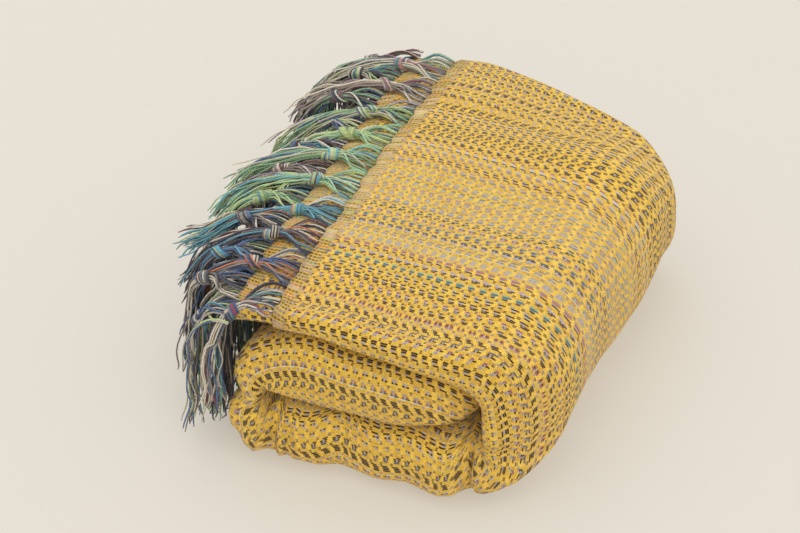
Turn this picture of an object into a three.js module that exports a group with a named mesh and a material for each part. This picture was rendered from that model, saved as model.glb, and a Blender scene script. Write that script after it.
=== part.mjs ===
// Folded cotton throw blanket with knotted fringe, in millimetres, +Z up.
// The cloth is folded into a long strip of plies, and the strip is wound into a C:
// bottom run, left turn, middle run, and a right wrap that ends in the top flap.
// Both fringed ends of the throw lie on top, the lower one further left than the upper.
// Y runs along the folds, X runs along the warp, and the fringe hangs over the -X side.
import * as THREE from 'three';

// ---- driving dimensions: the folded stack ----
const STACK_LENGTH = 330; // along the folds
const STACK_WIDTH = 206; // left turn to right wrap
const BOTTOM_RUN_HEIGHT = 58;
const MIDDLE_RUN_HEIGHT = 46;
const FLAP_HEIGHT = 9.8; // one fringed end of the throw, four plies
const WRAP_DEPTH = 45; // thickness of the right wrap
const TURN_DEPTH = 33; // thickness of the left turn
const UPPER_END_SETBACK = 30; // the upper fringed end stops short of the stack's left side
const CROWN = 0.028; // share by which the middle of the stack stands higher than its ends
const LAYER_GAP = 0.3; // clearance between neighbouring solids

// ---- driving dimensions: edge radii of the soft solids ----
const WRAP_CORNER = 38; // right wrap, seen along Y and seen from above
const TURN_CORNER = 30;
const MIDDLE_CORNER = 12;
const FLAP_CORNER = 2.2;
const RUN_END = 20; // rounding of the near and far ends
const FLAP_END = 4;

// ---- driving dimensions: fringe ----
const TASSELS_IN_ROW = 10;
const TASSEL_PITCH = 32.5;
const TASSEL_WIDTH = 15.4; // broadest part of one tassel
const NECK_LENGTH = 29; // from the cloth edge to the knot
const NECK_HEIGHT = 3; // thickness of the yarns where they leave the cloth
const KNOT_LENGTH = 12;
const KNOT_DIAMETER = 12.2;
const TAIL_LENGTH = 84;
const FLOOR_CLEARANCE = 3; // lowest fringe tip above the surface the throw lies on
const STEEPEST_HANG = 88; // degrees below horizontal

// ---- colours ----
const CLOTH = { color: 0xdcaa4a, roughness: 0.92, metalness: 0 };
const FRINGE_COLORS = [0x33507e, 0x3f8f9a, 0x8a8078, 0x9fc98f, 0x2f3b5c];

const left = -STACK_WIDTH / 2;
const right = STACK_WIDTH / 2;
const nearEnd = -STACK_LENGTH / 2;
const wrapStart = right - WRAP_DEPTH; // where the runs meet the right wrap, and the flap hinges
const turnEnd = left + TURN_DEPTH;
const bottomTop = BOTTOM_RUN_HEIGHT;
const middleBase = bottomTop + LAYER_GAP;
const middleTop = middleBase + MIDDLE_RUN_HEIGHT;
const lowerFlapBase = middleTop + LAYER_GAP;
const lowerFlapTop = lowerFlapBase + FLAP_HEIGHT;
const upperFlapBase = lowerFlapTop + LAYER_GAP;
const stackTop = upperFlapBase + FLAP_HEIGHT;
const upperEdge = left + UPPER_END_SETBACK;

const throwBlanket = new THREE.Group();

function addMesh(name, geometry, finish) {
  const mesh = new THREE.Mesh(geometry, new THREE.MeshStandardMaterial(finish));
  mesh.name = name;
  throwBlanket.add(mesh);
  return mesh;
}

// Height factor of the crowned stack: highest at the middle of its length.
function crownAt(y) {
  const share = (2 * y) / STACK_LENGTH;
  return 1 + CROWN * (1 - share * share);
}

// A closed skin over rings that all have the same number of points.
// Rings run counter-clockwise when seen from the first ring towards the last.
function skin(rings) {
  const count = rings[0].length;
  const positions = rings.flat().flatMap((p) => [p.x, p.y, p.z]);
  const index = [];
  for (let r = 0; r < rings.length - 1; r += 1) {
    for (let i = 0; i < count; i += 1) {
      const a = r * count + i;
      const b = r * count + ((i + 1) % count);
      index.push(a, b + count, b, a, a + count, b + count);
    }
  }
  const last = (rings.length - 1) * count;
  for (let i = 1; i < count - 1; i += 1) {
    index.push(0, i, i + 1);
    index.push(last, last + i + 1, last + i);
  }
  const geometry = new THREE.BufferGeometry();
  geometry.setAttribute('position', new THREE.Float32BufferAttribute(positions, 3));
  geometry.setIndex(index);
  return geometry;
}

// ---- cloth: rounded slabs that run along Y ----

// Outline of a slab in the XZ plane; radii are for the corners
// bottom-left, bottom-right, top-right, top-left.
function slabOutline({ x0, x1, z0, z1, radii }, inset, arcSteps = 3) {
  const corners = [
    { x: x0 + inset.x0, z: z0 + inset.z0, sx: 1, sz: 1, from: Math.PI },
    { x: x1 - inset.x1, z: z0 + inset.z0, sx: -1, sz: 1, from: 1.5 * Math.PI },
    { x: x1 - inset.x1, z: z1 - inset.z1, sx: -1, sz: -1, from: 0 },
    { x: x0 + inset.x0, z: z1 - inset.z1, sx: 1, sz: -1, from: 0.5 * Math.PI },
  ];
  const room = Math.min(x1 - inset.x1 - x0 - inset.x0, z1 - inset.z1 - z0 - inset.z0) * 0.48;
  return corners.flatMap((corner, k) => {
    const r = Math.min(radii[k], room);
    return Array.from({ length: arcSteps + 1 }, (_, i) => {
      const angle = corner.from + (i / arcSteps) * 0.5 * Math.PI;
      return [corner.x + r * (corner.sx + Math.cos(angle)), corner.z + r * (corner.sz + Math.sin(angle))];
    });
  });
}

// How far an edge with this end radius draws in at a distance from the end face.
function drawIn(distance, radius) {
  if (distance >= radius) return 0;
  const share = 1 - distance / radius;
  return radius * (1 - Math.sqrt(1 - share * share * 0.98));
}

const endSteps = [0, 2.5, 7, 14, 24, 38].map((d) => nearEnd + d);
const stations = [...endSteps, -72, 0, 72, ...endSteps.map((y) => -y).reverse()];

// The end radii say how each side draws in at the near and far ends.
function clothSlab(name, slab, ends) {
  const rings = stations.map((y) => {
    const distance = STACK_LENGTH / 2 - Math.abs(y);
    const inset = {};
    for (const side of ['x0', 'x1', 'z0', 'z1']) inset[side] = drawIn(distance, ends[side]);
    return slabOutline(slab, inset).map(([x, z]) => new THREE.Vector3(x, y, z * crownAt(y)));
  });
  addMesh(name, skin(rings), CLOTH);
}

function buildCloth() {
  clothSlab(
    'bottom_run',
    { x0: turnEnd + LAYER_GAP, x1: wrapStart - LAYER_GAP, z0: 0, z1: bottomTop, radii: [1, 1, 1, 1] },
    { x0: 1, x1: RUN_END, z0: RUN_END, z1: RUN_END },
  );
  clothSlab(
    'middle_run',
    {
      x0: turnEnd + LAYER_GAP,
      x1: wrapStart - LAYER_GAP,
      z0: middleBase,
      z1: middleTop,
      radii: [1, MIDDLE_CORNER, MIDDLE_CORNER, 1],
    },
    { x0: 1, x1: RUN_END, z0: RUN_END, z1: RUN_END },
  );
  clothSlab(
    'left_turn',
    { x0: left, x1: turnEnd, z0: 0, z1: middleTop, radii: [TURN_CORNER, 1, 1, TURN_CORNER / 2] },
    { x0: RUN_END, x1: 1, z0: RUN_END, z1: RUN_END },
  );
  clothSlab(
    'right_wrap',
    { x0: wrapStart, x1: right, z0: 0, z1: stackTop, radii: [1, WRAP_CORNER, WRAP_CORNER, 1] },
    { x0: 1, x1: WRAP_CORNER, z0: RUN_END, z1: RUN_END },
  );
  const flapRight = wrapStart - LAYER_GAP;
  const flapRadii = [FLAP_CORNER, FLAP_CORNER, FLAP_CORNER, FLAP_CORNER];
  const flapEnds = { x0: FLAP_END, x1: RUN_END, z0: FLAP_END, z1: FLAP_END };
  clothSlab(
    'lower_fringed_end',
    { x0: left, x1: flapRight, z0: lowerFlapBase, z1: lowerFlapTop, radii: flapRadii },
    flapEnds,
  );
  clothSlab(
    'upper_fringed_end',
    { x0: upperEdge, x1: flapRight, z0: upperFlapBase, z1: stackTop, radii: flapRadii },
    flapEnds,
  );
}

// ---- fringe: one closed solid for each tassel, cloth edge to tip ----

// Width along Y and height across the path, at a distance along the tassel.
const tasselSections = [
  { at: 0, width: TASSEL_WIDTH, height: NECK_HEIGHT },
  { at: 0.5 * NECK_LENGTH, width: 0.8 * TASSEL_WIDTH, height: NECK_HEIGHT + 1 },
  { at: NECK_LENGTH - 1, width: 0.6 * KNOT_DIAMETER, height: 0.5 * KNOT_DIAMETER },
  { at: NECK_LENGTH + 0.15 * KNOT_LENGTH, width: 0.9 * KNOT_DIAMETER, height: 0.9 * KNOT_DIAMETER },
  { at: NECK_LENGTH + 0.5 * KNOT_LENGTH, width: KNOT_DIAMETER, height: KNOT_DIAMETER },
  { at: NECK_LENGTH + 0.85 * KNOT_LENGTH, width: 0.9 * KNOT_DIAMETER, height: 0.9 * KNOT_DIAMETER },
  { at: NECK_LENGTH + KNOT_LENGTH + 1, width: 0.65 * KNOT_DIAMETER, height: 0.6 * KNOT_DIAMETER },
  { at: NECK_LENGTH + KNOT_LENGTH + 0.3 * TAIL_LENGTH, width: 0.85 * TASSEL_WIDTH, height: 8 },
  { at: NECK_LENGTH + KNOT_LENGTH + 0.65 * TAIL_LENGTH, width: TASSEL_WIDTH, height: 7 },
  { at: NECK_LENGTH + KNOT_LENGTH + TAIL_LENGTH, width: 0.9 * TASSEL_WIDTH, height: 5 },
];
const tasselLength = NECK_LENGTH + KNOT_LENGTH + TAIL_LENGTH;

// Slope below horizontal, in degrees, at a distance along the tassel: level at the
// cloth edge, knotSlope at the knot, then bending to tailSlope over the tail.
function slopeAt(distance, { knotSlope, tailSlope, bend }) {
  if (distance < NECK_LENGTH) return (knotSlope * distance) / NECK_LENGTH;
  const along = Math.min(1, (distance - NECK_LENGTH) / (bend * TAIL_LENGTH));
  return Math.min(STEEPEST_HANG, knotSlope + (tailSlope - knotSlope) * along);
}

// Points on the centre line; the tassel starts level at the cloth edge and heads to -X.
function hangingPath(start, hang) {
  const step = 1;
  const places = [];
  const place = start.clone();
  for (let distance = 0; distance <= tasselLength; distance += step) {
    const slope = THREE.MathUtils.degToRad(slopeAt(distance, hang));
    places.push({ distance, slope, point: place.clone() });
    place.x -= step * Math.cos(slope);
    place.z = Math.max(place.z - step * Math.sin(slope), FLOOR_CLEARANCE + TASSEL_WIDTH / 2);
  }
  return places;
}

function tassel(name, start, hang, color, sides) {
  const path = hangingPath(start, hang);
  const rings = tasselSections.map(({ at, width, height }) => {
    const { slope, point } = path[Math.min(path.length - 1, Math.round(at))];
    return Array.from({ length: sides }, (_, i) => {
      const angle = ((i + 0.5) / sides) * 2 * Math.PI;
      const across = 0.5 * width * Math.cos(angle);
      const up = 0.5 * height * Math.sin(angle);
      return new THREE.Vector3(
        point.x - up * Math.sin(slope),
        point.y + across,
        point.z + up * Math.cos(slope),
      );
    });
  });
  addMesh(name, skin(rings), { color, roughness: 0.95, metalness: 0 });
}

// The four rows share two lanes, half a pitch apart, so that rows in one lane
// lie above each other and rows in different lanes pass side by side.
// The tassels at the near end hang more steeply than the rest.
function buildFringe() {
  const firstY = -0.5 * (TASSELS_IN_ROW - 0.5) * TASSEL_PITCH;
  const upperZ = upperFlapBase + 0.6 * FLAP_HEIGHT;
  const underZ = lowerFlapBase + 0.34 * FLAP_HEIGHT;
  const lowerZ = underZ + NECK_HEIGHT + LAYER_GAP;
  // The upper knots ride just above the lower end, so their necks rise a little.
  const knotRise = Math.max(0, lowerFlapTop + 2 * LAYER_GAP + KNOT_DIAMETER / 2 - upperZ);
  const riseSlope = -2 * THREE.MathUtils.radToDeg(Math.asin(knotRise / NECK_LENGTH));
  const rows = [
    { row: 'upper_tassel', x: upperEdge, z: upperZ, lane: 0, knotSlope: riseSlope, tailSlope: 50, bend: 1 },
    { row: 'lower_tassel', x: left, z: lowerZ, lane: 0.5, knotSlope: 12, tailSlope: 86, bend: 0.6 },
    { row: 'under_tassel_a', x: left, z: underZ, lane: 0, knotSlope: 84, tailSlope: 88, bend: 1 },
    { row: 'under_tassel_b', x: left, z: underZ, lane: 0.5, knotSlope: 84, tailSlope: 88, bend: 1 },
  ];
  for (const { row, x, z, lane, knotSlope, tailSlope, bend } of rows) {
    for (let i = 0; i < TASSELS_IN_ROW; i += 1) {
      const y = firstY + (i + lane) * TASSEL_PITCH;
      const nearness = Math.max(0, 1 - i / 3);
      const hang = {
        knotSlope,
        tailSlope: tailSlope + 38 * nearness,
        bend: bend * (1 - 0.2 * nearness),
      };
      const color = FRINGE_COLORS[(i * 3 + rows.findIndex((r) => r.row === row)) % FRINGE_COLORS.length];
      const start = new THREE.Vector3(x - LAYER_GAP, y, z * crownAt(y));
      const sides = row.startsWith('under') ? 6 : 8;
      tassel(`${row}_${String(i + 1).padStart(2, '0')}`, start, hang, color, sides);
    }
  }
}

buildCloth();
buildFringe();

// The origin is the middle of the underside of the whole part, fringe included.
const extent = new THREE.Box3().setFromObject(throwBlanket);
throwBlanket.position.x = -0.5 * (extent.min.x + extent.max.x);

export default throwBlanket;
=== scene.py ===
"""Folded cotton throw blanket with knotted fringe: cloth, tassels, stage and camera."""

import math
from collections import namedtuple

import bpy
import numpy as np
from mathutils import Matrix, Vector


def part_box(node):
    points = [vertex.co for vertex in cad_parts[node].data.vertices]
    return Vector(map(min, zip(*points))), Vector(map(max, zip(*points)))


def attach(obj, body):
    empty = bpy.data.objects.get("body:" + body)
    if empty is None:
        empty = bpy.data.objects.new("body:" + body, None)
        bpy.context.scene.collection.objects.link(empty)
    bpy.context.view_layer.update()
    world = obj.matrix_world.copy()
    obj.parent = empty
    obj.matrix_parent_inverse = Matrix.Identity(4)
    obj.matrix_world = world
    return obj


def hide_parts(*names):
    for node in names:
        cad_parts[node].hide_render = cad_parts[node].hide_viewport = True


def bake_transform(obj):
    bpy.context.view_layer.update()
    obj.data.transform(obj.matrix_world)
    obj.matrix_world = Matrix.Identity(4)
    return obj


bl_info = {
    "name": "Folded Throw Blanket",
    "version": (1, 0, 0),
    "blender": (4, 5, 0),
    "location": "View3D > Sidebar > Throw",
    "description": "Builds a folded woven throw with knotted tassels",
    "category": "Add Mesh",
}

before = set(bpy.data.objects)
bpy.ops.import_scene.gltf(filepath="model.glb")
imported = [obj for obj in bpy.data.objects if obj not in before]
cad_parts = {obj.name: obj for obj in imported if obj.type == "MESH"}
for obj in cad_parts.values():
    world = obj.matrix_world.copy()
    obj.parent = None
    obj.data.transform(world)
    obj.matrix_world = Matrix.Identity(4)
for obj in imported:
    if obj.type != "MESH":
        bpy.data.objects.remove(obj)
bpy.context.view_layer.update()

MM = 0.001
TURN_LOW, TURN_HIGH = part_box("left_turn")
WRAP_LOW, WRAP_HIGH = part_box("right_wrap")
UPPER_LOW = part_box("upper_fringed_end")[0]
LOWER_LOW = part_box("lower_fringed_end")[0]

STACK_LEFT = TURN_LOW[0]
STACK_RIGHT = WRAP_HIGH[0]
STACK_NEAR = TURN_LOW[1]
STACK_FAR = TURN_HIGH[1]
STACK_LENGTH = STACK_FAR - STACK_NEAR
STACK_MIDDLE = 0.5 * (STACK_LEFT + STACK_RIGHT)
END_SETBACK = UPPER_LOW[0] - LOWER_LOW[0]
CROWN = 0.028  # how much higher the stack stands in its middle, as a share of its height


# ---------------------------------------------------------------- properties


class ThrowClothSettings(bpy.types.PropertyGroup):
    thickness: bpy.props.FloatProperty(
        name="Cloth thickness",
        description="Thickness of one ply of the woven cloth",
        default=1.6 * MM,
        min=0.5 * MM,
        max=4 * MM,
        unit="LENGTH",
    )
    grid: bpy.props.FloatProperty(
        name="Mesh spacing",
        description="Distance between mesh rows on the flat runs",
        default=4.5 * MM,
        min=2 * MM,
        max=12 * MM,
        unit="LENGTH",
    )
    weft: bpy.props.FloatVectorProperty(
        name="Weft colour",
        description="Colour of the yarn that runs along the folds",
        subtype="COLOR",
        size=3,
        default=(0.93, 0.55, 0.062),
        min=0,
        max=1,
    )


class ThrowFringeSettings(bpy.types.PropertyGroup):
    yarn_radius: bpy.props.FloatProperty(
        name="Yarn radius",
        description="Radius of one fringe yarn",
        default=0.58 * MM,
        min=0.3 * MM,
        max=2 * MM,
        unit="LENGTH",
    )
    yarns: bpy.props.IntProperty(
        name="Yarns in a tassel",
        description="Yarns gathered into each knot",
        default=44,
        min=8,
        max=90,
    )
    knot_radius: bpy.props.FloatProperty(
        name="Knot radius",
        description="Outer radius of a tied knot",
        default=5.0 * MM,
        min=3 * MM,
        max=12 * MM,
        unit="LENGTH",
    )


class ThrowStageSettings(bpy.types.PropertyGroup):
    floor: bpy.props.FloatVectorProperty(
        name="Floor colour",
        description="Colour of the plain floor",
        subtype="COLOR",
        size=3,
        default=(0.35, 0.325, 0.29),
        min=0,
        max=1,
    )
    floor_glow: bpy.props.FloatVectorProperty(
        name="Floor glow",
        description="Light given off by the floor, which lifts the shadows",
        subtype="COLOR",
        size=3,
        default=(0.40, 0.375, 0.32),
        min=0,
        max=1,
    )


# ---------------------------------------------------------------- shader maths


class Field:
    """One shader value; + - * / on it add Math nodes."""

    def __init__(self, graph, socket):
        self.graph = graph
        self.socket = socket

    def maths(self, operation, *others):
        inputs = {i: value for i, value in enumerate((self, *others))}
        return self.graph.node("ShaderNodeMath", {"operation": operation}, inputs)

    def __add__(self, other):
        return self.maths("ADD", other)

    __radd__ = __add__

    def __sub__(self, other):
        return self.maths("SUBTRACT", other)

    def __rsub__(self, other):
        return self.graph.node("ShaderNodeMath", {"operation": "SUBTRACT"}, {0: other, 1: self})

    def __mul__(self, other):
        return self.maths("MULTIPLY", other)

    __rmul__ = __mul__

    def __truediv__(self, other):
        return self.maths("DIVIDE", other)

    def away_from(self, value):
        """How far it is from a value, either way."""
        return (self - value).maths("ABSOLUTE")

    def whole(self):
        return self.maths("FLOOR")

    def part(self):
        return self.maths("FRACT")

    def above(self, low, high):
        """0 below low, 1 above high, smooth between."""
        settings = {"interpolation_type": "SMOOTHSTEP"}
        inputs = {"Value": self, "From Min": low, "From Max": high}
        return self.graph.node("ShaderNodeMapRange", settings, inputs)

    def band(self, low, high, soft):
        """1 between low and high, with soft edges."""
        return self.above(low - soft, low + soft) * (1 - self.above(high - soft, high + soft))

    def hump(self):
        """A round yarn's profile across a share from 0 to 1."""
        return (self * math.pi).maths("SINE")


class Graph:
    """A new material's nodes."""

    def __init__(self, name):
        self.material = bpy.data.materials.new(name)
        self.material.use_nodes = True
        self.tree = self.material.node_tree
        self.tree.nodes.clear()

    def node(self, kind, settings=None, inputs=None, output=0):
        made = self.tree.nodes.new(kind)
        for key, value in (settings or {}).items():
            if key == "stops":
                self.set_stops(made.color_ramp, value)
            elif key == "interpolation":
                made.color_ramp.interpolation = value
            else:
                setattr(made, key, value)
        for key, value in (inputs or {}).items():
            if isinstance(value, Field):
                self.tree.links.new(value.socket, made.inputs[key])
            else:
                made.inputs[key].default_value = value
        return Field(self, made.outputs[output] if made.outputs else None)

    @staticmethod
    def set_stops(ramp, stops):
        while len(ramp.elements) > 1:
            ramp.elements.remove(ramp.elements[-1])
        for i, (place, colour) in enumerate(stops):
            element = ramp.elements[0] if i == 0 else ramp.elements.new(place)
            element.position = place
            element.color = (*colour, 1)

    def mix(self, factor, a, b, blend="MIX"):
        settings = {"data_type": "RGBA", "blend_type": blend}
        return self.node("ShaderNodeMix", settings, {0: factor, 6: a, 7: b}, output=2)

    def random(self, value):
        """A number from 0 to 1 for each whole value; another offset makes another draw."""
        return self.node("ShaderNodeTexWhiteNoise", {"noise_dimensions": "1D"}, {"W": value})

    def noise(self, vector, scale, detail=2):
        inputs = {"Vector": vector, "Scale": scale, "Detail": detail}
        return self.node("ShaderNodeTexNoise", None, inputs)

    def flat_place(self, uv_map):
        """A UV map, and its distances across and along."""
        place = self.node("ShaderNodeUVMap", {"uv_map": uv_map})
        split = self.node("ShaderNodeSeparateXYZ", None, {0: place})
        return place, split, Field(self, split.socket.node.outputs[1])

    def shaded(self, colour, shade):
        """A colour made lighter or darker by a value: painted shade and painted highlight."""
        grey = self.node("ShaderNodeCombineColor", None, {0: shade, 1: shade, 2: shade})
        return self.mix(1.0, colour, grey, "MULTIPLY")

    def surface(self, inputs):
        """Ends the material in one shader."""
        shader = self.node("ShaderNodeBsdfPrincipled", None, inputs)
        self.node("ShaderNodeOutputMaterial", None, {"Surface": shader})
        return self.material

    def cotton(self, colour, roughness, height, depth, strength):
        """Ends the material as matt cotton with a raised pattern."""
        bump = {"Height": height, "Distance": depth, "Strength": strength}
        inputs = {"Base Color": colour, "Roughness": roughness}
        inputs["Normal"] = self.node("ShaderNodeBump", None, bump)
        inputs["Sheen Weight"] = 0.15
        inputs["Specular IOR Level"] = 0.25
        return self.surface(inputs)


def srgb(text):
    """Linear colour of a six-digit sRGB code."""
    shares = [int(text[i : i + 2], 16) / 255 for i in (0, 2, 4)]
    return tuple(c / 12.92 if c <= 0.04045 else ((c + 0.055) / 1.055) ** 2.4 for c in shares)


def rgba(colour):
    return (*colour, 1)


# ---------------------------------------------------------------- weave

ROW_PITCH = 7.6  # mm, rows of dashes across the throw
YARNS_IN_ROW = 6
COLUMN_PITCH = 6.8  # mm, weft columns along the throw
PICK_PITCH = 1.15  # mm between weft yarns
EDGE_STRIP = 10.0  # mm of plain weave at each fringed end
EDGE_FADE = 2.0  # mm each way over which that strip turns into columns
EDGE_PICK_PITCH = 2.6  # mm between the weft yarns of that strip
LOCK_PITCH = 2.9  # mm between the locks of warp that show in that strip
PALE_MIDDLE = 485  # mm across the throw to the middle of its pale rows
PALE_NARROW = 10  # mm each way where the rows are palest
PALE_WIDE = 95  # mm each way where they are as dark as the rest

WARP_COLOURS = (
    "3a241c",
    "363d58",
    "54382f",
    "4c8f96",
    "5a3b2a",
    "9fc7a0",
    "2f211c",
    "a596b4",
    "4d3032",
    "8a8290",
    "c9bccb",
    "cf7443",
    "3f6580",
    "ece0cb",
    "453733",
    "b3607f",
)

# Tints that some warp yarns take, by row or by place in the row; the dark brown for the warp dots is
# painted shade.
UMBER = "3d2a24"
LILAC = "d3c3cc"
CHALK = "cfc4b4"
ROSE = "d6c6c8"
# Painted shade: the dark brown that the warp dots between the weft columns are darkened towards.
DOT_SHADE = "55341f"
FLAX = "e0cfc0"

# Tints that some weft yarns take, and a painted highlight for the crests of the weft columns.
AMBER = (0.88, 0.42, 0.07)
LEMON = (0.97, 0.69, 0.11)
OCHRE = (0.60, 0.33, 0.06)
# Painted highlight: a lighter gold laid along the crest of each weft column.
CREST_HIGHLIGHT = (0.96, 0.63, 0.09)


class Weave:
    """Waffle-like weave: yellow weft columns with clusters of coloured warp between them."""

    def __init__(self, total_length):
        g = Graph("woven_cloth")
        self.graph = g
        self.place, across, along = g.flat_place("Weave")
        wander = g.noise(self.place, 24) * 1.6 - 0.8
        jitter = g.noise(self.place, 260, 1) * 0.7 - 0.35
        across = across * 1000 + wander + jitter
        along = along * 1000
        from_end = (total_length * 1000 - along).maths("MINIMUM", along)
        self.inside = from_end.above(EDGE_STRIP - EDGE_FADE, EDGE_STRIP + EDGE_FADE)
        self.along = from_end + wander - jitter

        self.row = (across / ROW_PITCH).whole()
        yarn_place = across / (ROW_PITCH / YARNS_IN_ROW)
        self.yarn = yarn_place.whole()
        self.yarn_share = yarn_place.part()
        self.in_row = self.yarn - self.row * YARNS_IN_ROW
        self.row_luck = g.random(self.row + 91.7)
        self.yarn_luck = g.random(self.yarn + 57.9)
        self.column_share = (self.along / COLUMN_PITCH).part()
        self.off_centre = self.column_share.away_from(0.5)
        self.pick = (self.along / PICK_PITCH).whole()
        self.lock_place = across / LOCK_PITCH
        self.middle_yarns = self.in_row.band(1.5, 3.5, 0.1)
        self.body = self.yarn_share.band(0.1, 0.9, 0.12)
        self.lay_warp()

    def lay_warp(self):
        """Where the warp lies on top: dashes in the columns, dots at their corners, locks at the ends."""
        # clusters of four yarns; each yarn's dash steps along from the one before
        lean = self.row_luck.above(0.49, 0.51) * 0.12 - 0.06
        middle = 0.5 + (self.in_row - 2.5) * lean + (self.yarn_luck - 0.5) * 0.3
        cell = (self.along / COLUMN_PITCH).whole()
        cell_luck = self.graph.random(cell * 7.31 + self.row * 3.17)
        reach = 0.17 + self.yarn_luck.above(0.3, 0.9) * 0.15 + (cell_luck - 0.5) * 0.1
        distance = self.column_share.away_from(middle)
        parted = self.graph.random(self.row + 33.1).above(0.88, 0.9)
        twin = self.off_centre.away_from(0.18) + 0.12
        distance = distance + (twin - distance) * parted
        dash = 1 - distance.above(reach - 0.05, reach + 0.05)
        four_yarns = self.in_row.band(0.5, 4.5, 0.1)
        slim = self.row_luck.above(0.82, 0.84)
        cluster = four_yarns + (self.middle_yarns - four_yarns) * slim
        self.dashes = dash * cluster * self.body
        self.gaps = dash * cluster * (1 - self.body)
        self.dots = self.off_centre.above(0.35, 0.4) * (1 - four_yarns) * self.body
        locks = self.lock_place.part().band(0.12, 0.75, 0.12)
        locks = locks * ((self.along / EDGE_PICK_PITCH).part().band(0.1, 0.7, 0.15) * 0.6 + 0.4)
        columns = self.dashes.maths("MAXIMUM", self.dots * 0.85)
        self.shown = self.inside * columns + (1 - self.inside) * locks * 0.85

    def warp_colour(self):
        g = self.graph
        stops = [(i / len(WARP_COLOURS), srgb(c)) for i, c in enumerate(WARP_COLOURS)]
        ramp = {"interpolation": "CONSTANT", "stops": stops}
        yarn_pick = g.random(self.yarn + 11.3)
        lock_pick = g.random(self.lock_place.whole() + 7.7)
        chosen = yarn_pick * self.inside + lock_pick * (1 - self.inside)
        warp = g.node("ShaderNodeValToRGB", ramp, {0: chosen})
        outside_band = (self.row * ROW_PITCH).away_from(PALE_MIDDLE).above(PALE_NARROW, PALE_WIDE)
        mood = g.random(self.row + 0.37) * 0.8 + outside_band * 0.75
        dark_rows = mood.above(0.85, 1.0) * self.yarn_luck.above(0.36, 0.41)
        warp = g.mix(dark_rows * self.inside, warp, rgba(srgb(UMBER)))
        lilac = (1 - self.yarn_luck.above(0.2, 0.24)) * self.inside * 0.65
        warp = g.mix(lilac, warp, rgba(srgb(LILAC)))
        pale = g.mix(0.62, warp, rgba(srgb(CHALK)))
        warp = g.mix((1 - mood.above(0.5, 0.75)) * 0.8, warp, pale)
        heart = (1 - self.off_centre.above(0.05, 0.1)) * self.middle_yarns
        warp = g.mix(heart * self.row_luck.above(0.2, 0.24) * 0.7, warp, rgba(srgb(ROSE)))
        # Painted shade: the warp dots at the cluster corners are darkened towards a shadow brown.
        return g.mix(self.dots * self.inside * (1 - self.dashes) * 0.6, warp, rgba(srgb(DOT_SHADE)))

    def weft_colour(self, weft):
        g = self.graph
        pale_weft = tuple(c * f for c, f in zip(weft, (1.03, 1.12, 1.5)))
        pick_luck = g.random(self.pick + 5.1)
        base = g.mix(pick_luck.above(0.25, 0.9), rgba(weft), rgba(pale_weft))
        base = g.mix(pick_luck.above(0.9, 0.95) * 0.5, base, rgba(AMBER))
        faded = g.noise(self.place, 9, 3).above(0.3, 0.75)
        base = g.mix(faded * 0.3, base, rgba(tuple(c * 0.85 for c in weft)))
        speck = g.random(self.yarn * 3.7 + (self.pick * 0.5).whole() * 5.3)
        base = g.mix(speck.above(0.6, 0.95) * 0.7, base, rgba(LEMON))
        base = g.mix((1 - speck.above(0.0, 0.3)) * 0.6, base, rgba(OCHRE))
        # Painted highlight: a lighter gold along the crest of each weft column, where the relief is
        # highest.
        base = g.mix(self.off_centre.above(0.36, 0.46) * 0.35, base, rgba(CREST_HIGHLIGHT))
        thread = self.yarn_luck.above(0.93, 0.94) * self.yarn_share.band(0.3, 0.7, 0.12)
        thread = thread * (self.pick * 0.5).part().above(0.2, 0.3)
        return g.mix(thread * self.inside * 0.6, base, rgba(srgb(FLAX)))

    def relief(self):
        """Height of the surface: weft floats, warp dashes, a ridge at each column and gaps between. The
        colour also takes painted shade and painted highlight from it.
        """
        pick_share = (self.along / PICK_PITCH + (self.yarn * 0.5).part()).part()
        yarn_hump = self.yarn_share.hump()
        floats = pick_share.hump() * (1 - self.shown) * (yarn_hump * 0.35 + 0.65) * 0.6
        ridge = self.off_centre.above(0.2, 0.42) * self.inside * 0.3
        return floats + yarn_hump * self.shown * 0.5 + ridge - self.gaps * self.inside * 0.4


def woven_cloth(weft, total_length):
    """The weave's material; lengths across and along the throw come from a UV map in metres."""
    weave = Weave(total_length)
    g = weave.graph
    colour = g.mix(weave.shown, weave.weft_colour(weft), weave.warp_colour())
    height = weave.relief()
    # Painted shade and painted highlight: the colour is darkened where the relief is low, in gaps and
    # between floats, and lightened on floats and ridges.
    colour = g.shaded(colour, (height * 0.5 + 0.68).maths("MINIMUM", 1.08))
    return g.cotton(colour, 0.9, height, 0.9 * MM, 0.75)


def fringe_yarn():
    """Twisted cotton yarn, coloured by each yarn's own attribute, with painted shade in the grooves of
    its twist.
    """
    g = Graph("fringe_yarn")
    tint = g.node("ShaderNodeAttribute", {"attribute_name": "yarn_colour"})
    _, turn, length = g.flat_place("Yarn")
    height = (turn * 2 + length / (3.2 * MM)).part().hump()
    # Painted shade: the colour darkens where the twist's height is low and is lighter on its crests.
    return g.cotton(g.shaded(tint, height * 0.3 + 0.72), 0.88, height, 0.25 * MM, 0.6)


# ---------------------------------------------------------------- folded cloth

WIDTH_FOLDS = 4  # plies that each end of the throw makes when its width is folded
TRUE_QUARTER = 1.4  # quarters across the throw to where the rows of the weave are measured from
OUTER_LEVEL = 0.375  # of the strip's thickness, from its middle line to its outermost plies
INNER_LEVEL = 0.125
NEAR_ROUND = 0.36  # of the strip's thickness, how far its near folds bulge
FAR_ROUND = 0.14


def from_middle(x, z, thickness, reach=0, squat=0):
    """A point of the strip's middle line; its near end reaches out by reach, and squat
    squares off the outward side (+1) or the inward side (-1) of that end."""
    return (STACK_MIDDLE + x * MM, z * MM, thickness * MM, reach * MM, squat)


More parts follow.
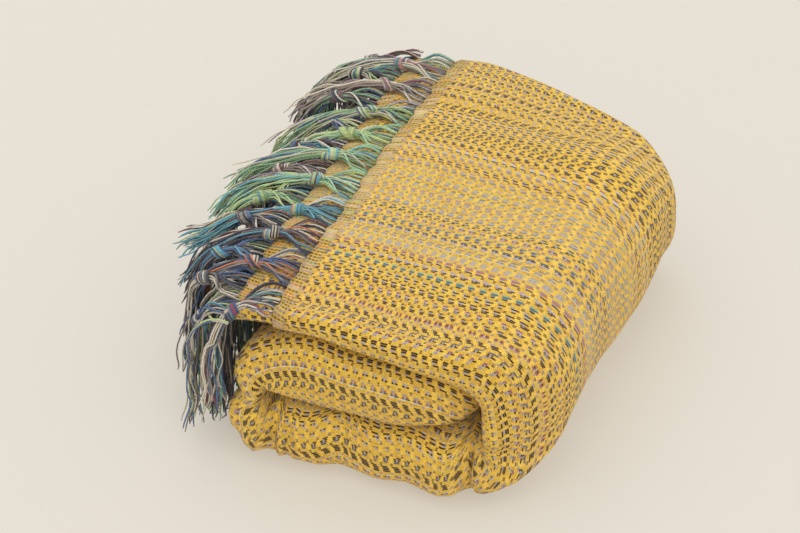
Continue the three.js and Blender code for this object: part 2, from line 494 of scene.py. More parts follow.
# Middle line of the folded strip, seen along the folds, in mm, from the fringed ends to the inner
# one: x, z, thickness, reach and squat.
STRIP = [
    from_middle(-103, 111.5, 16),
    from_middle(-73, 114.0, 18),
    from_middle(-20, 115.5, 19),
    from_middle(20, 114.5, 21),
    from_middle(48, 111, 26, 1),
    from_middle(70, 103, 36, 3),
    from_middle(84, 87, 45, 4),
    from_middle(87.5, 63, 48, 5),
    from_middle(87.5, 46, 48, 6, 0.4),
    from_middle(81, 33, 50, 7, 0.8),
    from_middle(64, 29, 55, 8, 1),
    from_middle(28, 29, 56, 9, 1),
    from_middle(-20, 26.5, 51, 9, 1),
    from_middle(-60, 25.5, 49, 12, 1),
    from_middle(-82, 29.5, 41, 12.5, 0.9),
    from_middle(-91, 50, 26, 10, 0),
    from_middle(-85, 71, 35, 8, -0.5),
    from_middle(-60, 77.5, 52, 7, -1),
    from_middle(-20, 78, 52, 7, -1),
    from_middle(28, 80.5, 48, 4, -1),
    from_middle(50, 81, 44, -6, -0.6),
    from_middle(66, 80, 38, -24, 0),
]
CUT_POINT = 10  # point of the line where the right wrap meets the bottom run


def smooth_rows(points, spacing):
    """Evenly spaced rows on a smooth curve through the points, and their distances."""
    points = np.array(points, float)
    steps = np.linalg.norm(np.diff(points[:, :2], axis=0), axis=1)
    chord = np.concatenate([[0], np.cumsum(steps)])
    slope = np.gradient(points, chord, axis=0)
    fine = np.linspace(0, chord[-1], 3000)
    k = np.clip(np.searchsorted(chord, fine, side="right") - 1, 0, len(chord) - 2)
    h = (chord[k + 1] - chord[k])[:, None]
    t = (fine - chord[k])[:, None] / h
    rows = (2 * t**3 - 3 * t**2 + 1) * points[k] + (t**3 - 2 * t**2 + t) * h * slope[k]
    rows += (3 * t**2 - 2 * t**3) * points[k + 1] + (t**3 - t**2) * h * slope[k + 1]
    gaps = np.linalg.norm(np.diff(rows[:, :2], axis=0), axis=1)
    length = np.concatenate([[0], np.cumsum(gaps)])
    at = np.linspace(0, length[-1], round(length[-1] / spacing) + 1)
    return at, np.stack([np.interp(at, length, rows[:, c]) for c in range(rows.shape[1])], 1)


def eased(x, low, high):
    t = np.clip((x - low) / (high - low), 0, 1)
    return t * t * (3 - 2 * t)


def waves(points, wavelength, seed, count=5):
    """A smooth vector field made of a few sine waves, within about 1 each way."""
    rng = np.random.default_rng(seed)
    field = np.zeros_like(points)
    for axis in range(3):
        for _ in range(count):
            heading = rng.normal(size=3)
            heading *= 2 * math.pi / (wavelength * rng.uniform(0.7, 1.4) * np.linalg.norm(heading))
            field[..., axis] += np.sin(points @ heading + rng.uniform(0, 2 * math.pi))
    return field / math.sqrt(count)


# Gathers in the near end of the lower roll: place along x, depth and width, in mm.
GATHERS = [(-84, 5, 4), (-61, 10, 3.5), (-49, 6, 3), (-38, 3, 5), (-14, 5, 9), (24, 3, 6), (63, 10, 4)]


def receding(x):
    """How far the two ends draw in towards the rounded right wrap: the near one along an ellipse,
    the far one along a slant that bends in."""
    t = np.clip((x / MM - 38) / 76, 0, 0.985)
    near = 88 * (1 - np.sqrt(1 - t * t))
    far = 0.19 * np.clip(x / MM + 50, 0, 200) + 0.01 * np.clip(x / MM - 66, 0, 60) ** 2
    return near * MM, far * MM


def settle(points):
    """Crowns the stack, rounds its ends, gathers the near end and lets the cloth wander."""
    p = points.copy()
    x = p[..., 0] - STACK_MIDDLE
    y = p[..., 1]
    z = p[..., 2]
    share = y / (0.5 * STACK_LENGTH)
    near = eased(-share, 0.5, 1)
    far = eased(share, 0.3, 1)
    low = 1 - eased(z, 35 * MM, 58 * MM)

    near_draw, far_draw = receding(x)
    p[..., 1] += near_draw * near - far_draw * far
    p[..., 0] += 6 * MM * eased(x, 50 * MM, 110 * MM) * eased(share, -0.3, 0.5)

    # folds gathered into the near end of the bottom run, fanning out from its top left
    left_lobe = np.exp(-(((x / MM) + 68) ** 2) / (2 * 18**2)) * low
    p[..., 1] -= 3 * MM * left_lobe * near
    p[..., 2] -= 7 * MM * eased(-x, 55 * MM, 85 * MM) * near * low * eased(z, 4 * MM, 20 * MM)
    for place, depth, width in GATHERS:
        fan = (x + (0.25 if place < 0 else 0.05) * (58 * MM - z)) / MM - place
        dent = np.exp(-(fan**2) / (2 * width**2))
        p[..., 1] += depth * MM * dent * near * low
        p[..., 2] -= 0.3 * depth * MM * dent * near * low * eased(z, 30 * MM, 58 * MM)

    # the far end sinks, the middle of the stack stands highest
    p[..., 2] *= 1 + CROWN * (1 - share**2)
    sink = 5 * MM + 8 * MM * eased(x, -60 * MM, 70 * MM)
    p[..., 2] -= sink * far**1.5 * eased(z, 50 * MM, 120 * MM)
    p[..., 2] -= 4 * MM * near * eased(z, 44 * MM, 58 * MM) * (1 - 0.4 * eased(z, 90 * MM, 120 * MM))

    # the left side bulges in two rolls with a groove between them
    groove = np.exp(-(((z / MM) - 51) ** 2) / (2 * 6.0**2)) * (1 - eased(x, -100 * MM, -78 * MM))
    p[..., 0] += 8 * MM * groove

    lift = eased(z, 0, 25 * MM)[..., None]
    p += waves(p, 120 * MM, 7) * 1.7 * MM * lift
    p += waves(p, 48 * MM, 19) * 0.9 * MM * (0.3 + 0.7 * near[..., None]) * lift
    p += waves(p, 26 * MM, 23) * 1.1 * MM * (near * low)[..., None] * (0.3 + 0.7 * lift)
    p[..., 2] = np.maximum(p[..., 2], 1.1 * MM)
    return p


class Strip:
    """The throw folded to a strip of plies, wound along the middle line."""

    def __init__(self, spacing):
        self.at, rows = smooth_rows(STRIP, spacing)
        self.centre = rows[:, :2]
        self.thickness = rows[:, 2]
        self.reach = rows[:, 3]
        self.squat = rows[:, 4]
        tangent = np.gradient(self.centre, self.at, axis=0)
        tangent /= np.linalg.norm(tangent, axis=1)[:, None]
        self.tangent = tangent
        self.outward = np.stack([-tangent[:, 1], tangent[:, 0]], 1)
        self.ply = self.thickness / (4 * WIDTH_FOLDS)  # from a level to the sheet on each side of it

    def profile(self, spacing):
        """The width of the throw, folded in four: columns of layer level, run share,
        near bulge, far bulge and distance across the cloth."""
        run = 0.3  # metres of cloth in one quarter, and then in the folds between quarters
        outer = 0.055
        inner = 0.02
        turn = 0.024
        flat = np.linspace(0, 1, round(run / spacing) + 1)
        bend = np.linspace(0, 1, 19)[1:-1]
        small = np.linspace(0, 1, 9)[1:-1]
        cos, sin = self.squarish(bend, 0.75)
        cos_s, sin_s = self.squarish(small, 0.85)
        none = flat * 0
        stretches = [
            (none - OUTER_LEVEL, 1 - flat, none, none, flat * run),
            (-OUTER_LEVEL * cos, bend * 0, sin, bend * 0, bend * outer),
            (none + OUTER_LEVEL, flat, none, none, flat * run),
            (0.25 + INNER_LEVEL * cos_s, small * 0 + 1, small * 0, sin_s, small * turn),
            (none + INNER_LEVEL, 1 - flat, none, none, flat * run),
            (INNER_LEVEL * cos_s, small * 0, 0.45 * sin_s, small * 0, small * inner),
            (none - INNER_LEVEL, flat, none, none, flat * run),
        ]
        starts = np.cumsum([0, run, outer, run, turn, run, inner])
        columns = [np.array(s) + np.array([0, 0, 0, 0, o])[:, None] for s, o in zip(stretches, starts)]
        return np.concatenate(columns, 1)

    @staticmethod
    def squarish(share, power):
        """Half a turn, its circle squared off."""
        cos = np.cos(math.pi * share)
        sin = np.sin(math.pi * share)
        return np.sign(cos) * abs(cos) ** power, sin

    def sheet(self, rows, side, profile, tip=0.0):
        """Points of one ply (side +1 outside, -1 inside) on the given rows."""
        level, run, near, far, _ = profile
        thick = self.thickness[rows][:, None]
        ply = self.ply[rows][:, None]
        near_round = NEAR_ROUND * thick
        far_round = FAR_ROUND * thick
        y0 = STACK_NEAR + near_round + ply
        y1 = STACK_FAR - far_round - ply
        squat = self.squat[rows][:, None] * level[None] / OUTER_LEVEL
        bulge = near[None] ** (0.68 - 0.3 * squat)
        y = y0 + (y1 - y0) * run[None] - near_round * bulge + far_round * far[None]
        y -= self.reach[rows][:, None] * (1 - run[None]) ** 6
        n = level[None] * thick
        dy = np.gradient(y, axis=1)
        dn = np.gradient(n, axis=1)
        size = np.hypot(dy, dn) + 1e-9
        y = y - side * ply * dn / size
        n = n + side * ply * dy / size
        centre = self.centre[rows][:, None] + tip * ply[..., None] * self.tangent[rows][:, None]
        place = centre + n[..., None] * self.outward[rows][:, None]
        return np.stack([place[..., 0], y, place[..., 1]], -1)

    def edge_point(self, distance, y, level):
        """A settled point of the strip at a distance along it and a level through it."""
        centre = [np.interp(distance, self.at, self.centre[:, k]) for k in (0, 1)]
        outward = [np.interp(distance, self.at, self.outward[:, k]) for k in (0, 1)]
        thick = np.interp(distance, self.at, self.thickness)
        x = centre[0] + outward[0] * level * thick
        z = centre[1] + outward[1] * level * thick
        return settle(np.array([[x, y, z]]))[0]


def ragged(points):
    """Lets the first rows at a fringed end run in and out a little."""
    p = points.copy()
    y = p[..., 1] / MM
    fade = np.linspace(1, 0, 4)[:, None]
    p[:4, :, 0] += (0.9 * np.sin(y[:4] / 2.3) + 0.8 * np.sin(y[:4] / 5.1 + 1)) * MM * fade
    return p


def grid_faces(rows, columns, start=0):
    index = start + np.arange(rows * columns).reshape(rows, columns)
    a, b = index[:-1, :-1].ravel(), index[:-1, 1:].ravel()
    c, d = index[1:, 1:].ravel(), index[1:, :-1].ravel()
    return np.stack([a, d, c, b], 1)


def smooth_piece(name, points, faces, uv_map, uvs, material):
    """A new piece with one UV map, given corner by corner."""
    mesh = bpy.data.meshes.new(name)
    mesh.from_pydata(points.tolist(), [], faces)
    layer = mesh.uv_layers.new(name=uv_map)
    layer.data.foreach_set("uv", uvs.ravel().astype(np.float32))
    mesh.polygons.foreach_set("use_smooth", [True] * len(mesh.polygons))
    mesh.materials.append(material)
    piece = bpy.data.objects.new(name, mesh)
    bpy.context.collection.objects.link(piece)
    return piece


def cloth_piece(name, grids, uvs, thickness, material):
    """One mesh from several grids of points; the weave's UV map is in metres."""
    faces = []
    start = 0
    for grid in grids:
        faces.append(grid_faces(*grid.shape[:2], start))
        start += grid.shape[0] * grid.shape[1]
    points = np.concatenate([g.reshape(-1, 3) for g in grids])
    flat_uv = np.concatenate([u.reshape(-1, 2) for u in uvs])
    faces = np.concatenate(faces)
    piece = smooth_piece(name, points, faces.tolist(), "Weave", flat_uv[faces.ravel()], material)
    solid = piece.modifiers.new("ply thickness", "SOLIDIFY")
    solid.thickness = thickness
    solid.offset = 0
    bpy.ops.object.select_all(action="DESELECT")
    bpy.context.view_layer.objects.active = piece
    piece.select_set(True)
    bpy.ops.object.modifier_apply(modifier=solid.name)
    return piece


class THROW_OT_cloth(bpy.types.Operator):
    """Folds the woven cloth: the fringed flap with the right wrap, and the runs under it"""

    bl_idname = "throw.cloth"
    bl_label = "Folded cloth"

    def execute(self, context):
        settings = context.scene.throw_cloth
        strip = Strip(settings.grid)
        profile = strip.profile(settings.grid)
        across = profile[4]
        anchor = int(np.argmin(abs(across - TRUE_QUARTER * across[-1] / WIDTH_FOLDS)))
        length = strip.at[-1]
        total = 2 * length - END_SETBACK
        material = woven_cloth(tuple(settings.weft), total)
        rows = np.arange(len(strip.at))
        upper_start = int(np.argmin(abs(strip.at - END_SETBACK)))
        cut = int(np.argmin(np.hypot(*(strip.centre - np.array(STRIP[CUT_POINT][:2])).T)))

        def weave_map(points, at):
            """Distances across and along the throw, the first true on the top run."""
            steps = np.linalg.norm(np.diff(points, axis=1), axis=2)
            reach = np.concatenate([np.zeros((len(points), 1)), np.cumsum(steps, 1)], 1)
            reach = reach - reach[:, anchor : anchor + 1] + across[anchor]
            return np.stack(np.broadcast_arrays(reach, at[:, None]), -1)

        # both fringed ends, one on the other, as far as the cut
        upper_rows = rows[upper_start : cut + 1]
        lower_rows = rows[: cut + 1]
        upper = settle(ragged(strip.sheet(upper_rows, 1, profile)))
        lower = settle(ragged(strip.sheet(lower_rows, -1, profile)))
        maps = [
            weave_map(upper, strip.at[upper_rows] - END_SETBACK),
            weave_map(lower, total - strip.at[lower_rows]),
        ]
        flap = cloth_piece("flap_and_wrap_cloth", [upper, lower], maps, settings.thickness, material)
        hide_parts("upper_fringed_end", "lower_fringed_end", "right_wrap")

        # from the cut to the inner end, round it and back
        base_rows = rows[cut:]
        sheets = [strip.sheet(base_rows, 1, profile)]
        along = [strip.at[base_rows] - END_SETBACK]
        for step in range(1, 4):
            turn = math.pi * step / 4
            sheets.append(strip.sheet(base_rows[-1:], math.cos(turn), profile, math.sin(turn)))
            along.append(np.array([length - END_SETBACK + END_SETBACK * step / 4]))
        sheets.append(strip.sheet(base_rows[::-1], -1, profile))
        along.append(total - strip.at[base_rows[::-1]])
        runs = settle(np.concatenate(sheets))
        maps = [weave_map(runs, np.concatenate(along))]
        base = cloth_piece("inner_runs_cloth", [runs], maps, settings.thickness, material)
        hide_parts("bottom_run", "middle_run", "left_turn")

        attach(base, "root")
        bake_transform(flap)
        return {"FINISHED"}


# ---------------------------------------------------------------- fringe

TASSELS = 10
NECK = 27 * MM
KNOT = 12 * MM
TAIL = 84 * MM
STEEPEST = 88.0  # degrees below level
STRAY_PAST_END = 16 * MM
GROUPS = 8  # groups of warp that a tassel gathers
LOCKS = 6  # locks that its tail parts into
GOLDEN_ANGLE = 2.39996
DUST = "b5aa9c"  # a tint that all the yarns share a little of

YARN_COLOURS = {
    "mint": "aed6a8",
    "lime": "c3d48c",
    "leaf": "8ab384",
    "teal": "5a9499",
    "cyan": "62aec4",
    "blue": "48689a",
    "navy": "2d3650",
    "grey": "8d8781",
    "taupe": "9c8c7f",
    "mauve": "9a8298",
    "cream": "e2d6bd",
    "orange": "c9764c",
    "pink": "c98f8c",
    "magenta": "97375f",
    "maroon": "6b3032",
    "black": "2b2a2e",
}

# Yarn mixes of the upper tassels, near to far; the first yarns are the most plentiful.
UPPER_MIXES = [
    ("navy", "blue", "cream", "black", "teal", "grey", "magenta"),
    ("navy", "blue", "cream", "grey", "black", "orange", "taupe"),
    ("grey", "navy", "cream", "maroon", "cyan", "black", "orange"),
    ("cyan", "cream", "teal", "orange", "lime", "maroon", "navy"),
    ("mint", "cyan", "lime", "cream", "mauve", "leaf", "maroon"),
    ("mint", "lime", "leaf", "cream", "cyan", "blue", "orange"),
    ("lime", "mint", "cream", "leaf", "grey", "mint", "blue"),
    ("lime", "cream", "leaf", "blue", "mauve", "navy", "teal"),
    ("taupe", "grey", "cream", "mauve", "navy", "black", "magenta"),
    ("mint", "grey", "teal", "pink", "cream", "mauve", "blue"),
]
LOWER_MIXES = [
    ("taupe", "cream", "mauve", "maroon", "grey", "pink", "navy"),
    ("navy", "blue", "cream", "black", "grey", "teal", "maroon"),
    ("blue", "navy", "cream", "lime", "grey", "cyan", "black"),
    ("navy", "grey", "cream", "leaf", "blue", "taupe", "orange"),
    ("lime", "teal", "cream", "navy", "grey", "leaf", "black"),
]
MIX_WEIGHTS = (5, 4, 4, 3, 2, 2, 1)
UPPER_YAW = (4, -8, -10, -12, -6, -9, -14, -16, -10, -2)
# The nearest upper tassel curls round the corner of the cloth and hangs straight down.
CORNER_HANG = {"knot_slope": 25, "tail_slope": 88, "bend": 0.5, "yaw": -34}

Row = namedtuple("Row", "level setback knot_slope tail_slope bend width spread loose")

# The rows of tassels: level through the strip, setback from its end, slopes in degrees at the knot
# and the tail, share of the tail that bends, half width at the edge, spread of the tail, and
# whether every other yarn hangs free of the knot.
ROWS = {
    "upper_tassel": Row(0.40, END_SETBACK, 0, 58, 1.0, 15 * MM, 10 * MM, False),
    "lower_tassel": Row(0.28, 0.0, 12, 86, 0.6, 16.5 * MM, 11 * MM, False),
    "under_tassel_a": Row(-0.05, 0.0, 42, 88, 0.5, 16.5 * MM, 15 * MM, True),
    "under_tassel_b": Row(-0.2, 0.0, 80, 88, 1.0, 15 * MM, 15 * MM, True),
}

# Bands wound round a knot: yarns, tilt, turns and radius as a share of the knot's.
KNOT_BANDS = ((6, 0.35, 1.1, 0.84), (5, -0.5, 0.8, 0.97))


def hanging_line(start, knot_slope, tail_slope, bend, yaw, tail, floor):
    """Centre line from the cloth edge: level, then bending down past the knot."""
    step = 1 * MM
    total = NECK + KNOT + tail
    count = round(total / step)
    points = [np.array(start)]
    for k in range(count):
        distance = k * step
        if distance < NECK:
            slope = knot_slope * distance / NECK
        else:
            share = min(1.0, (distance - NECK) / (bend * tail))
            slope = min(STEEPEST, knot_slope + (tail_slope - knot_slope) * share)
        heading = math.radians(yaw) * min(1.0, distance / NECK)
        s = math.radians(slope)
        move = np.array([-math.cos(s) * math.cos(heading), math.cos(s) * math.sin(heading), -math.sin(s)])
        point = points[-1] + move * step
        point[2] = max(point[2], floor)
        points.append(point)
    return np.arange(count + 1) * step, np.array(points)


def tubes(lines, radii, colours, sides=5, across=None):
    """Closed tubes along lines of shape (tube, point, 3): points, faces, colours and UVs."""
    count, steps = lines.shape[:2]
    tangent = np.gradient(lines, axis=1)
    tangent /= np.linalg.norm(tangent, axis=2)[..., None] + 1e-12
    if across is None:
        across = np.broadcast_to(np.array([0.0, 1.0, 0.12]), lines.shape)
    side = across - (across * tangent).sum(2)[..., None] * tangent
    side /= np.linalg.norm(side, axis=2)[..., None] + 1e-12
    up = np.cross(tangent, side)
    angle = 2 * math.pi * np.arange(sides) / sides
    ring = np.cos(angle)[:, None] * side[:, :, None] + np.sin(angle)[:, None] * up[:, :, None]
    points = lines[:, :, None] + radii[:, :, None, None] * ring
    index = np.arange(count * steps * sides).reshape(count, steps, sides)
    turned = np.roll(index, -1, axis=2)
    a, b = index[:, :-1], turned[:, :-1]
    c, d = turned[:, 1:], index[:, 1:]
    faces = np.stack([a, b, c, d], -1).reshape(-1, 4)
    gaps = np.linalg.norm(np.diff(lines, axis=1), axis=2)
    length = np.concatenate([np.zeros((count, 1)), np.cumsum(gaps, axis=1)], 1)
    turn = np.broadcast_to(np.arange(sides) / sides, (count, steps, sides))
    next_turn = turn + 1 / sides
    reach = np.broadcast_to(length[:, :, None], (count, steps, sides))
    u = np.stack([turn[:, :-1], next_turn[:, :-1], next_turn[:, 1:], turn[:, 1:]], -1)
    v = np.stack([reach[:, :-1], reach[:, :-1], reach[:, 1:], reach[:, 1:]], -1)
    uv = np.stack([u, v], -1).reshape(-1, 4, 2)
    caps = [(index[:, 0, ::-1], length[:, 0]), (index[:, -1], length[:, -1])]
    tint = np.repeat(colours, steps * sides, axis=0)
    return points.reshape(-1, 3), faces, uv, caps, tint


def yarn_mesh(name, bundles, material):
    """One mesh from several bundles of tubes."""
    points, faces, uvs, tints = [], [], [], []
    start = 0
    for bundle_points, bundle_faces, bundle_uv, caps, tint in bundles:
        points.append(bundle_points)
        faces += (bundle_faces + start).tolist()
        uvs.append(bundle_uv.reshape(-1, 2))
        for ring, length in caps:
            faces += (ring + start).tolist()
            sides = ring.shape[1]
            flat = np.stack([np.zeros((len(ring), sides)), np.repeat(length[:, None], sides, 1)], -1)
            uvs.append(flat.reshape(-1, 2))
        tints.append(tint)
        start += len(bundle_points)
    piece = smooth_piece(name, np.concatenate(points), faces, "Yarn", np.concatenate(uvs), material)
    colour = piece.data.color_attributes.new("yarn_colour", "FLOAT_COLOR", "POINT")
    rgb = np.concatenate(tints)
    colour.data.foreach_set("color", np.concatenate([rgb, np.ones((len(rgb), 1))], 1).ravel())
    return piece


class YarnMix:
    """The yarn colours of one tassel, the first the most plentiful."""

    def __init__(self, rng, names):
        self.rng = rng
        weights = np.array(MIX_WEIGHTS) * rng.uniform(0.4, 1.6, len(names))
        self.shares = weights / weights.sum()
        colours = np.array([srgb(YARN_COLOURS[name]) for name in names])
        self.colours = 0.86 * colours + 0.14 * np.array(srgb(DUST))

    def draw(self, count, darkest):
        picks = self.rng.choice(len(self.shares), size=count, p=self.shares)
        return self.colours[picks] * self.rng.uniform(darkest, 1.2, (count, 1))


def line_frame(line):
    """Heading, near side and upward direction along a hanging line."""
    heading = np.gradient(line, axis=0)
    heading /= np.linalg.norm(heading, axis=1)[:, None]
    side = np.cross(np.array([0.0, 0.0, 1.0]), heading)
    steep = np.linalg.norm(side, axis=1)[:, None]
    near = np.array([0.0, -1.0, 0.0])
    side = np.where(steep > 0.15, side / (steep + 1e-9), near)
    side = side * np.sign(side @ near)[:, None]
    up = np.cross(side, heading)
    up = up * np.where(up[:, 2:3] + 0.001 * -up[:, 0:1] < 0, -1, 1)
    return heading, side, up


def read_track(track, distance, places):
    """Vectors along a line, read at other distances."""
    return np.stack([np.interp(places, distance, track[:, k]) for k in range(3)], 1)


def yarn_lines(rng, law, tail_length, settings, distance, line, side, up):
    """Each yarn's line: groups fan from the edge into the knot, and locks part below it."""
    count = settings.yarns
    knot_end = NECK + KNOT
    neck_stations = np.linspace(0, NECK, 8)[:-1]
    knot_stations = np.linspace(NECK, knot_end, 4)[:-1]
    tail_stations = knot_end + np.linspace(0, 1, 20) * tail_length
    stations = np.concatenate([neck_stations, knot_stations, tail_stations])
    order = np.linspace(0, 0.999, count)
    group = (order * GROUPS).astype(int)
    share = np.linspace(-1, 1, GROUPS)[group] + np.linspace(-1, 1, count) * 0.04
    share += rng.normal(0, 0.035, count)
    loose = (np.arange(count) % 2 == 0) & law.loose
    group_hold = rng.uniform(0.0, 0.5, GROUPS)
    group_bow = rng.uniform(0, 4.5, GROUPS) * MM
    lock = np.clip((order + rng.normal(0, 0.05, count)) * LOCKS, 0, LOCKS - 0.01).astype(int)
    core = 0.6 * settings.knot_radius * np.sqrt((np.arange(count) + 0.5) / count)
    core_across = core * np.cos(np.arange(count) * GOLDEN_ANGLE)
    core_up = core * np.sin(np.arange(count) * GOLDEN_ANGLE)
    lock_angle = rng.uniform(0, 2 * math.pi, LOCKS)
    lock_phase = rng.uniform(0, 2 * math.pi, (LOCKS, 2))
    lock_wave = rng.uniform(30, 60, LOCKS) * MM
    lines = np.zeros((count, len(stations), 3))
    for j in range(count):
        reach = 1 - abs(rng.normal(0, 0.05))
        place = np.where(stations > knot_end, knot_end + (stations - NECK - KNOT) * reach, stations)
        gather = eased(place, group_hold[group[j]] * NECK, NECK) * (1 - loose[j])
        off = (1 - gather) * share[j] * law.width + gather * core_across[j]
        high = gather * core_up[j] + (1 - gather) * rng.normal(0, 0.5) * MM
        bow = group_bow[group[j]] + rng.normal(0, 0.4) * MM
        high += np.sin(math.pi * np.clip(place / NECK, 0, 1)) * bow

        tail = np.clip((place - NECK - KNOT) / tail_length, 0, 1)
        open_out = tail**0.7
        k = lock[j]
        wave = 2 * math.pi * (place - NECK - KNOT) / lock_wave[k]
        sway = open_out * 2.6 * MM
        off += open_out * (share[j] * law.spread * (1 - loose[j]) + rng.normal(0, 1.4) * MM)
        off += sway * np.sin(wave + lock_phase[k, 0])
        high += open_out * (3.2 * MM * math.sin(lock_angle[k]) + rng.normal(0, 1.3) * MM)
        high += 0.7 * sway * np.sin(0.8 * wave + lock_phase[k, 1])

        wriggle = 2 * math.pi * place / (rng.uniform(14, 30) * MM) + rng.uniform(0, 6)
        off += tail**0.5 * rng.uniform(0.2, 0.9) * MM * np.sin(wriggle)
        high += tail**0.5 * rng.uniform(0.2, 0.9) * MM * np.cos(0.8 * wriggle)
        wild = 1.9 if rng.uniform() < 0.07 else 1.0
        stray = wild * tail**2.5 * rng.normal(0, 3.2 * MM, 2)[:, None]
        lines[j] = read_track(line, distance, place)
        lines[j] += (off + stray[0])[:, None] * read_track(side, distance, place)
        lines[j] += (high + stray[1])[:, None] * read_track(up, distance, place)
    lines[..., 2] = np.maximum(lines[..., 2], 2 * MM)
    lines[..., 1] = np.clip(lines[..., 1], STACK_NEAR - STRAY_PAST_END, STACK_FAR + STRAY_PAST_END)
    return lines


def knot_bands(rng, mix, settings, centre, axis, side):
    """Two bands of yarns wound round the bundle, one crossing the other."""
    up = np.cross(axis, side)
    bundles = []
    for strands, tilt, turns, radius in KNOT_BANDS:
        around = np.linspace(0, turns * 2 * math.pi, 22) + rng.uniform(0, 6)
        radial = np.cos(around)[:, None] * side + np.sin(around)[:, None] * up
        wraps = np.zeros((strands, len(around), 3))
        rise = np.linspace(-0.5, 0.5, len(around)) * 0.55 * KNOT
        ends = np.sin(math.pi * np.linspace(0, 1, len(around))) ** 0.35
        for k in range(strands):
            offset = (k - 0.5 * (strands - 1)) * 1.75 * settings.yarn_radius
            lean = tilt * settings.knot_radius * np.cos(around - around[0])
            bulge = radius * settings.knot_radius * (1 - 0.25 * (offset / (0.5 * KNOT)) ** 2)
            shift = (rise + offset + lean)[:, None] * axis
            wraps[k] = centre + shift + (bulge * (0.55 + 0.45 * ends))[:, None] * radial
        facing = np.broadcast_to(axis, wraps.shape)
        radii = np.full(wraps.shape[:2], settings.yarn_radius * 1.1)
        bundles.append(tubes(wraps, radii, mix.draw(strands, 0.8), across=facing))
    return bundles


def tassel(name, start, law, hang, colours, settings, material, seed):
    """Yarns that fan from the cloth edge into a wound knot and spread into a loose tail."""
    rng = np.random.default_rng(seed)
    distance, line = hanging_line(start, **hang)
    heading, side, up = line_frame(line)
    lines = yarn_lines(rng, law, hang["tail"], settings, distance, line, side, up)
    radii = np.full(lines.shape[:2], settings.yarn_radius)
    radii[:, -2:] *= (0.95, 0.55)
    mix = YarnMix(rng, colours)
    bundles = [tubes(lines, radii, mix.draw(len(lines), 0.75))]
    middle = int(np.argmin(abs(distance - (NECK + 0.5 * KNOT))))
    bundles += knot_bands(rng, mix, settings, line[middle], heading[middle], side[middle])
    return yarn_mesh(name, bundles, material)


class THROW_OT_fringe(bpy.types.Operator):
    """Ties the four rows of tassels along the fringed ends"""

    bl_idname = "throw.fringe"
    bl_label = "Tassel fringe"

    def execute(self, context):
        settings = context.scene.throw_fringe
        strip = Strip(context.scene.throw_cloth.grid)
        material = fringe_yarn()
        for row_number, (row, law) in enumerate(ROWS.items()):
            upper = row == "upper_tassel"
            for i in range(TASSELS):
                node = f"{row}_{i + 1:02d}"
                low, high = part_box(node)
                y = 0.5 * (low[1] + high[1])
                rng = np.random.default_rng(1000 * row_number + i)
                start = strip.edge_point(law.setback, y, law.level)
                start[0] += 1.5 * MM
                nearness = max(0.0, 1 - i / 3)
                hang = {
                    "knot_slope": law.knot_slope + rng.normal(0, 3),
                    "tail_slope": law.tail_slope + 38 * nearness + rng.normal(0, 5),
                    "bend": law.bend * (1 - 0.2 * nearness),
                    "yaw": UPPER_YAW[i] if upper else rng.normal(-4, 7),
                    "tail": TAIL * rng.uniform(0.86, 1.02),
                    "floor": 5 * MM,
                }
                if upper and i == 0:
                    hang.update(CORNER_HANG)
                mixes = UPPER_MIXES if upper else LOWER_MIXES
                colours = mixes[(i + row_number) % len(mixes)]
                seed = 77 * row_number + i
                piece = tassel(f"{node}_yarns", start, law, hang, colours, settings, material, seed)
                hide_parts(node)
                if upper:
                    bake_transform(piece)
                else:
                    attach(piece, "top_flap")
        return {"FINISHED"}


# ---------------------------------------------------------------- stage

VIEW_AZIMUTH = 22.2  # degrees
VIEW_ELEVATION = 37.4
VIEW_DISTANCE = 1.74  # metres
VIEW_LENS = 111.6  # mm
VIEW_TARGET = (STACK_MIDDLE - 51 * MM, -1 * MM, 47 * MM)
FLOOR_SIZE = 12  # metres
SKY = (0.96, 0.97, 1.0)
SKY_STRENGTH = 0.92
LAMP_TARGET = (STACK_MIDDLE, 0, 60 * MM)

# Lamps: name, place, size, watts and colour.
LAMPS = (
    ("key", (-0.45, 0.15, 2.0), 2.3, 10.5, (1.0, 0.96, 0.9)),
    ("fill", (1.1, -1.5, 1.5), 1.6, 6, (1.0, 0.97, 0.93)),
)


def aim(thing, place, target):
    thing.location = place
    direction = Vector(target) - Vector(place)
    thing.rotation_euler = direction.to_track_quat("-Z", "Y").to_euler()


def soft_light(name, place, size, watts, colour):
    data = bpy.data.lights.new(name, "AREA")
    data.shape = "DISK"
    data.size = size
    data.energy = watts
    data.color = colour
    lamp = bpy.data.objects.new(name, data)
    bpy.context.collection.objects.link(lamp)
    aim(lamp, place, LAMP_TARGET)


def floor_paper(settings):
    """Pale paper with a faint grain and a glow that lifts the shadows."""
    g = Graph("floor_paper")
    grain = g.noise(g.node("ShaderNodeTexCoord", output=3), 3)
    darker = tuple(c * 0.965 for c in settings.floor)
    colour = g.mix(grain, rgba(darker), rgba(settings.floor))
    glow = rgba(settings.floor_glow)
    return g.surface(
        {"Base Color": colour, "Roughness": 0.8, "Emission Color": glow, "Emission Strength": 1.0}
    )


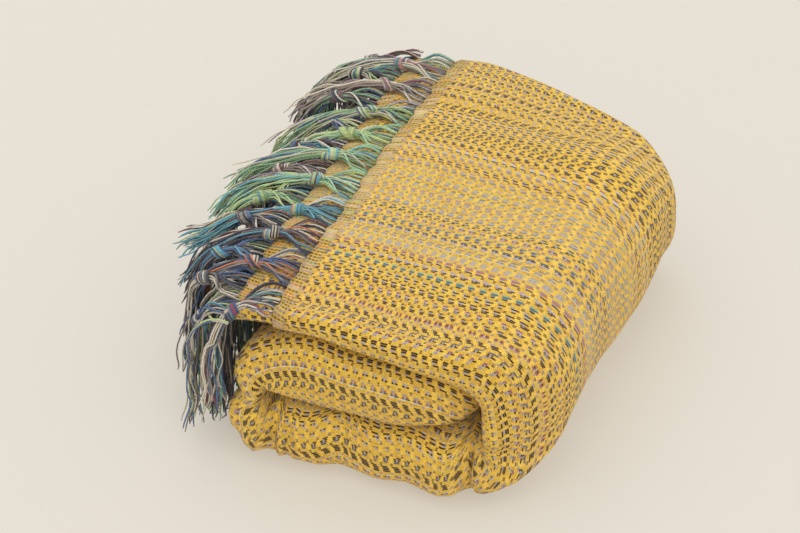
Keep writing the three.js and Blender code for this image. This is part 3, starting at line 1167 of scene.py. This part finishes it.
class THROW_OT_stage(bpy.types.Operator):
    """Sets the floor, the soft lights and the camera"""

    bl_idname = "throw.stage"
    bl_label = "Stage"

    def execute(self, context):
        settings = context.scene.throw_stage
        scene = context.scene
        bpy.ops.mesh.primitive_plane_add(size=FLOOR_SIZE, location=(0, 0, 0))
        floor = context.active_object
        floor.name = "floor"
        floor.data.materials.append(floor_paper(settings))

        world = bpy.data.worlds.new("soft_sky")
        world.use_nodes = True
        back = world.node_tree.nodes["Background"]
        back.inputs["Color"].default_value = rgba(SKY)
        back.inputs["Strength"].default_value = SKY_STRENGTH
        scene.world = world
        for lamp in LAMPS:
            soft_light(*lamp)

        camera = bpy.data.objects.new("camera", bpy.data.cameras.new("camera"))
        context.collection.objects.link(camera)
        camera.data.lens = VIEW_LENS
        a = math.radians(VIEW_AZIMUTH)
        e = math.radians(VIEW_ELEVATION)
        back_way = Vector((math.sin(a) * math.cos(e), -math.cos(a) * math.cos(e), math.sin(e)))
        target = Vector(VIEW_TARGET)
        aim(camera, target + back_way * VIEW_DISTANCE, target)
        scene.camera = camera
        scene.view_settings.view_transform = "Standard"
        return {"FINISHED"}


# ---------------------------------------------------------------- add-on


class THROW_PT_panel(bpy.types.Panel):
    bl_idname = "THROW_PT_panel"
    bl_label = "Folded throw"
    bl_space_type = "VIEW_3D"
    bl_region_type = "UI"
    bl_category = "Throw"

    def draw(self, context):
        layout = self.layout
        groups = (
            (context.scene.throw_cloth, ("thickness", "grid", "weft"), "throw.cloth"),
            (context.scene.throw_fringe, ("yarn_radius", "yarns", "knot_radius"), "throw.fringe"),
            (context.scene.throw_stage, ("floor", "floor_glow"), "throw.stage"),
        )
        for settings, names, operator in groups:
            box = layout.box()
            for name in names:
                box.prop(settings, name)
            box.operator(operator)


CLASSES = (
    ThrowClothSettings,
    ThrowFringeSettings,
    ThrowStageSettings,
    THROW_OT_stage,
    THROW_OT_cloth,
    THROW_OT_fringe,
    THROW_PT_panel,
)


def register():
    for cls in CLASSES:
        bpy.utils.register_class(cls)
    bpy.types.Scene.throw_cloth = bpy.props.PointerProperty(type=ThrowClothSettings)
    bpy.types.Scene.throw_fringe = bpy.props.PointerProperty(type=ThrowFringeSettings)
    bpy.types.Scene.throw_stage = bpy.props.PointerProperty(type=ThrowStageSettings)


def unregister():
    del bpy.types.Scene.throw_stage
    del bpy.types.Scene.throw_fringe
    del bpy.types.Scene.throw_cloth
    for cls in reversed(CLASSES):
        bpy.utils.unregister_class(cls)


def main():
    register()
    bpy.ops.object.select_all(action="DESELECT")
    bpy.ops.throw.stage()
    bpy.ops.throw.cloth()
    bpy.ops.throw.fringe()


if __name__ == "__main__":
    main()
